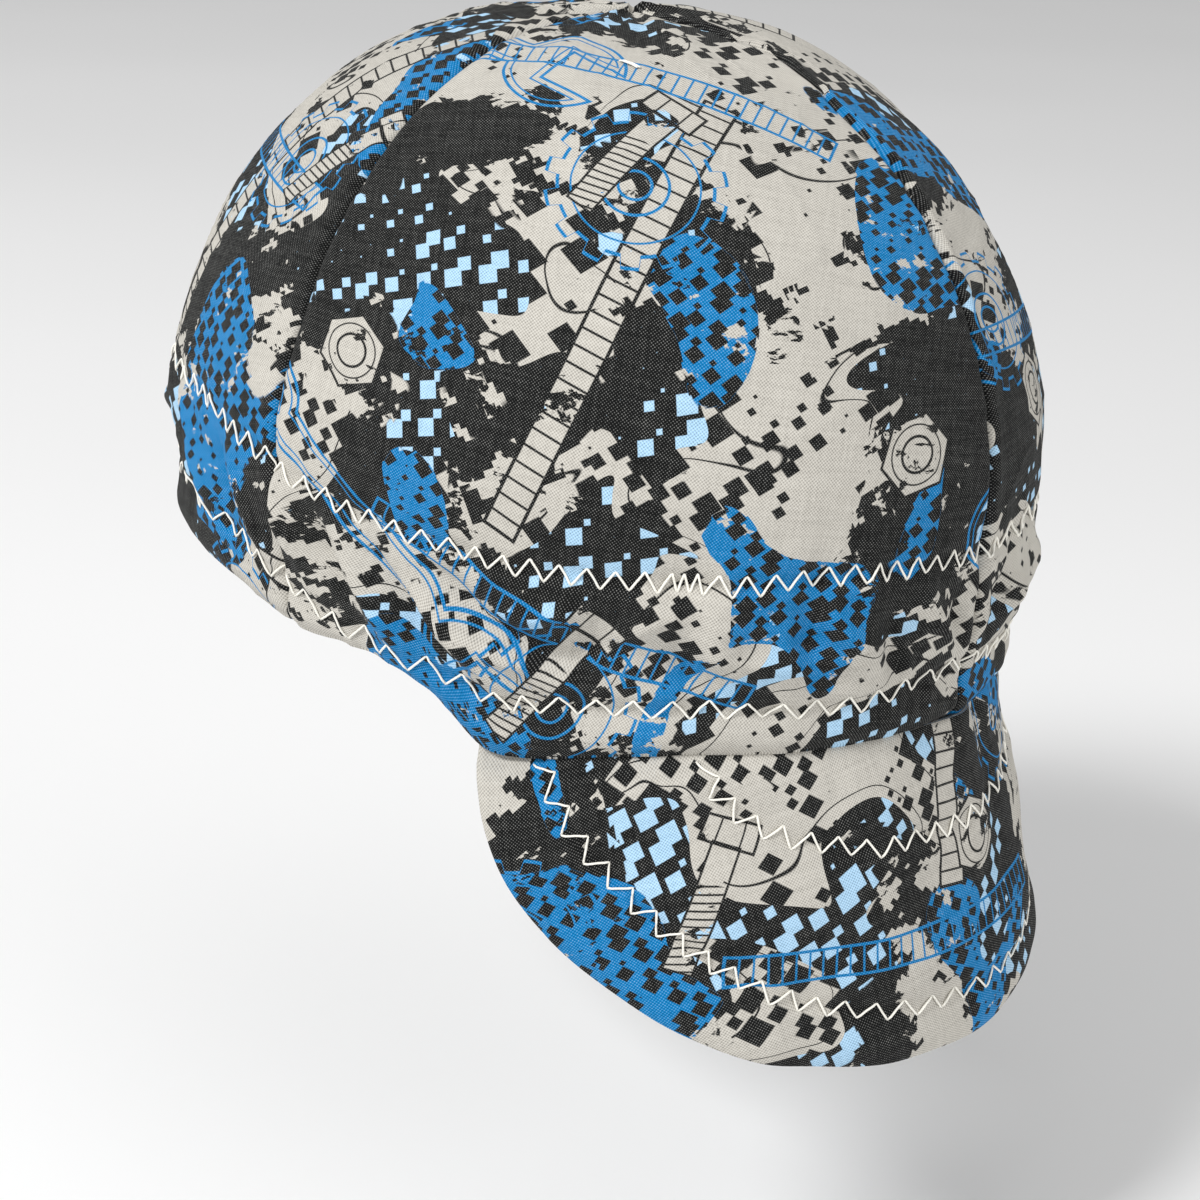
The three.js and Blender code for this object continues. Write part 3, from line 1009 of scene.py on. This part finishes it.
def nut(paint, u, v):
    """The face of a nut and its lines."""
    edge = paint.hexagon(u, v, 7.4)
    chamfer, bore = paint.disc(u, v, 6.0), paint.disc(u, v, 3.6)
    lines = paint.any_of(paint.line(edge, 0.6), paint.line(chamfer, 0.35), paint.line(bore, 0.6))
    return paint.within(edge), lines


def print_colour(paint, x, y):
    """A generic work print: soft camouflage patches, fields of squares that grow and shrink, and
    fine outlines of spanners, gears, bolts, nuts and steel rules. Each outline repeats on the cloth
    and is given as (place, direction in degrees, period)."""
    block_x, block_y = stepped(paint, x, y, 1.25)
    torn = paint.noise(x, y * 1.7, 6.0, detail=5.0, rough=0.62, warp=0.4, z=8.0)
    blocks = paint.noise(block_x, block_y * 1.5, 8.0, detail=2.0, rough=0.6, warp=0.2, z=2.0)
    print_left = paint.above(torn + blocks, 0.86, 0.02)
    colour = ground(paint, x, y, torn, blocks)

    place = paint.motif(x, y, (24.0, 56.0), 72.0, (143.0, 182.0))
    face, lines = steel_rule(paint, *place, 50.0, 3.4, mark_step=3.6, mark=0.25, edge=0.7)
    colour = paint.mix(face * print_left, colour, GREIGE)
    colour = paint.mix(lines, colour, CHARCOAL)
    place = paint.motif(x, y, (-30.0, 120.0), -14.0, (156.0, 118.0))
    face, lines = steel_rule(paint, *place, 42.0, 3.2, mark_step=2.8, mark=0.22, edge=0.65)
    colour = paint.mix(lines, colour, AZURE)

    place = paint.motif(x, y, (46.0, 98.0), -34.0, (168.0, 132.0))
    colour = paint.mix(spanner(paint, *place), colour, AZURE)
    place = paint.motif(x, y, (-58.0, 28.0), 10.0, (131.0, 104.0))
    colour = paint.mix(gear(paint, *place), colour, AZURE)

    face, lines = bolt(paint, *paint.motif(x, y, (4.0, 26.0), 58.0, (118.0, 106.0)))
    colour = paint.mix(face * print_left, colour, GREIGE)
    colour = paint.mix(lines, colour, CHARCOAL)
    face, lines = nut(paint, *paint.motif(x, y, (70.0, 14.0), 20.0, (118.0, 96.0)))
    colour = paint.mix(face * paint.above(torn, 0.42, 0.02), colour, GREIGE)
    return paint.mix(lines, colour, CHARCOAL)


def cotton(name, printed=True):
    """Plain woven cotton, printed on its face and paler on its back."""
    paint = Paint(name)
    x, y = paint.place()
    colour = print_colour(paint, x, y)
    if not printed:
        colour = paint.mix(0.66, colour, UNPRINTED)
    # warp and weft threads, thicker and thinner along their length
    slub, stretch = 0.75, 0.08
    warp = paint.noise(x, y * stretch, slub, detail=1.0, z=3.0)
    weft = paint.noise(x * stretch, y, slub, detail=1.0, z=5.0)
    grain = paint.noise(x, y, 0.42, detail=1.0, rough=0.6, z=9.0)
    over = paint.math("SINE", x * (math.pi / WEAVE)) * paint.math("SINE", y * (math.pi / WEAVE))
    weave = (warp + weft) * 0.2 + grain * 0.26 + over * 0.34 + 0.12
    cloud = paint.noise(x, y, 26.0, detail=2.0, z=12.0)
    # painted shade and light of the weave: the print darkens where the weave lies low and pales where it
    # stands high, and the soft clouds vary its tone at random
    weave_shade_and_cloud = paint.math("MULTIPLY_ADD", weave, 1.1, 0.42) + (cloud - 0.5) * 0.12
    weave_shade_tint = paint.node("CombineColor", (weave_shade_and_cloud, weave_shade_and_cloud, weave_shade_and_cloud))
    colour = paint.mix(1.0, colour, Wire(paint, weave_shade_tint.outputs[0]), "MULTIPLY")
    # the crowns of the threads are paler: partly print worn off them, partly a painted highlight on each
    # crown
    crown_wear_and_highlight = paint.math("MULTIPLY_ADD", weave, 4.5, -2.6, clamp=True) * 0.42
    colour = paint.mix(crown_wear_and_highlight, colour, THREAD_CROWN_WEAR_AND_HIGHLIGHT)
    return paint.surface(colour, weave, 0.55, 0.2, Roughness=0.86, Specular_IOR_Level=0.09,
                         Sheen_Weight=0.03, Sheen_Roughness=0.5)


def thread_paint():
    """Off-white twisted thread with a little fuzz."""
    paint = Paint("thread_white")
    x, y, z = paint.spot()
    twist_rate = 14.0
    twist = paint.math("SINE", (x + y + z) * twist_rate)
    height = twist * 0.3 + paint.noise(x, y, 0.4, detail=2.0, rough=0.6, z=z)
    # painted shade: the thread is darker in the grooves of its twist and paler where it stands high
    colour = paint.mix(paint.above(height, 0.5, 1.6), srgb(232, 228, 215), srgb(252, 250, 243))
    return paint.surface(colour, height, 0.5, 0.08, Roughness=0.7, Sheen_Weight=0.15)


def floor_paint():
    """A plain pale floor, very faintly clouded."""
    paint = Paint("floor_pale")
    x, y = paint.spot()[:2]
    colour = paint.mix(paint.noise(x, y, 300.0), srgb(243, 243, 243), srgb(247, 247, 247))
    return paint.surface(colour, None, 0.0, 0.0, Roughness=0.9)


printed = cotton("printed_cotton")
reverse = cotton("cotton_reverse", printed=False)
thread = thread_paint()

for part, panel in PANELS.items():
    crown_panel("cloth_" + part, "crown_panel_" + part, *panel, printed, reverse)
brim_piece = brim_cloth(printed)

# The rows of stitches: period and height of the zigzag in mm, and a number for their unevenness
crown_row("stitch_row_upper", UPPER_ROW_HEIGHT, 5.3, 4.0, 3, -176.0, (-48.5, -43.5), thread)
crown_row("stitch_row_lower", LOWER_ROW_HEIGHT, 7.2, 4.2, 4, -174.0, (-67, -64.5), thread)
brim_row("stitch_brim_outer", OUTER_BRIM_ROW, 6.9, 4.0, 5, thread)
brim_row("stitch_brim_inner", INNER_BRIM_ROW, 6.4, 4.0, 6, thread)
loose_thread(thread)

# Camera, at the photo's viewing angle
AZIMUTH, ELEVATION, ROLL = -52.2, 21.206, -3.541
FOCAL_IN_FRAME = 2268.9
FRAME_WIDTH = 1200.0
SENSOR = 36.0
DISTANCE = 523.5
AIM_RIGHT, AIM_UP = 1.4, -11.15


def seen_from(azimuth, elevation):
    """The way from the cap to a camera or a lamp."""
    turn, climb = math.radians(azimuth), math.radians(elevation)
    return Vector((math.sin(turn) * math.cos(climb), -math.cos(turn) * math.cos(climb), math.sin(climb)))


back = seen_from(AZIMUTH, ELEVATION)
level = Vector((math.cos(math.radians(AZIMUTH)), math.sin(math.radians(AZIMUTH)), 0))
upward = back.cross(level)
roll = math.radians(ROLL)
right = math.cos(roll) * level - math.sin(roll) * upward
top = math.cos(roll) * upward + math.sin(roll) * level
aim = AIM_RIGHT * level + Vector((0, 0, AIM_UP))
camera_data = bpy.data.cameras.new("camera")
camera_data.sensor_width = SENSOR
camera_data.lens = FOCAL_IN_FRAME / FRAME_WIDTH * SENSOR
camera = bpy.data.objects.new("camera", camera_data)
turned_to = Matrix((right, top, back)).transposed().to_4x4()
camera.matrix_world = Matrix.Translation((aim + DISTANCE * back) * METRES) @ turned_to
bpy.context.scene.collection.objects.link(camera)
bpy.context.scene.camera = camera


def lamp(name, azimuth, elevation, distance, size, watts):
    """A square studio lamp that looks at the cap, with its distance and size in metres."""
    aim_height = 0.03
    data = bpy.data.lights.new(name, "AREA")
    data.size = size
    data.energy = watts
    way = seen_from(azimuth, elevation)
    light = bpy.data.objects.new(name, data)
    light.location = way * distance + Vector((0, 0, aim_height))
    light.rotation_mode = "QUATERNION"
    light.rotation_quaternion = (-way).to_track_quat("-Z", "Y")
    bpy.context.scene.collection.objects.link(light)


lamp("key", AZIMUTH - 50, 44, 2.4, 0.6, 45.0)
lamp("fill", AZIMUTH + 56, 16, 2.6, 1.4, 18.0)
lamp("top", AZIMUTH + 20, 78, 2.4, 1.2, 2.0)

WORLD_LIGHT = 0.5
world = bpy.data.worlds.new("studio")
world.use_nodes = True
sky = world.node_tree.nodes["Background"]
sky.inputs["Color"].default_value = (1, 1, 1, 1)
sky.inputs["Strength"].default_value = WORLD_LIGHT
bpy.context.scene.world = world

FLOOR_LEVEL = -150.0
FLOOR_REACH = 30000.0
sides = [(-1, -1), (1, -1), (1, 1), (-1, 1)]
floor_corners = [(x * FLOOR_REACH, y * FLOOR_REACH, FLOOR_LEVEL) for x, y in sides]
floor = make_mesh("floor", floor_corners, [(0, 1, 2, 3)], smooth=False)
floor.data.materials.append(floor_paint())

bpy.context.scene.view_settings.view_transform = "Standard"
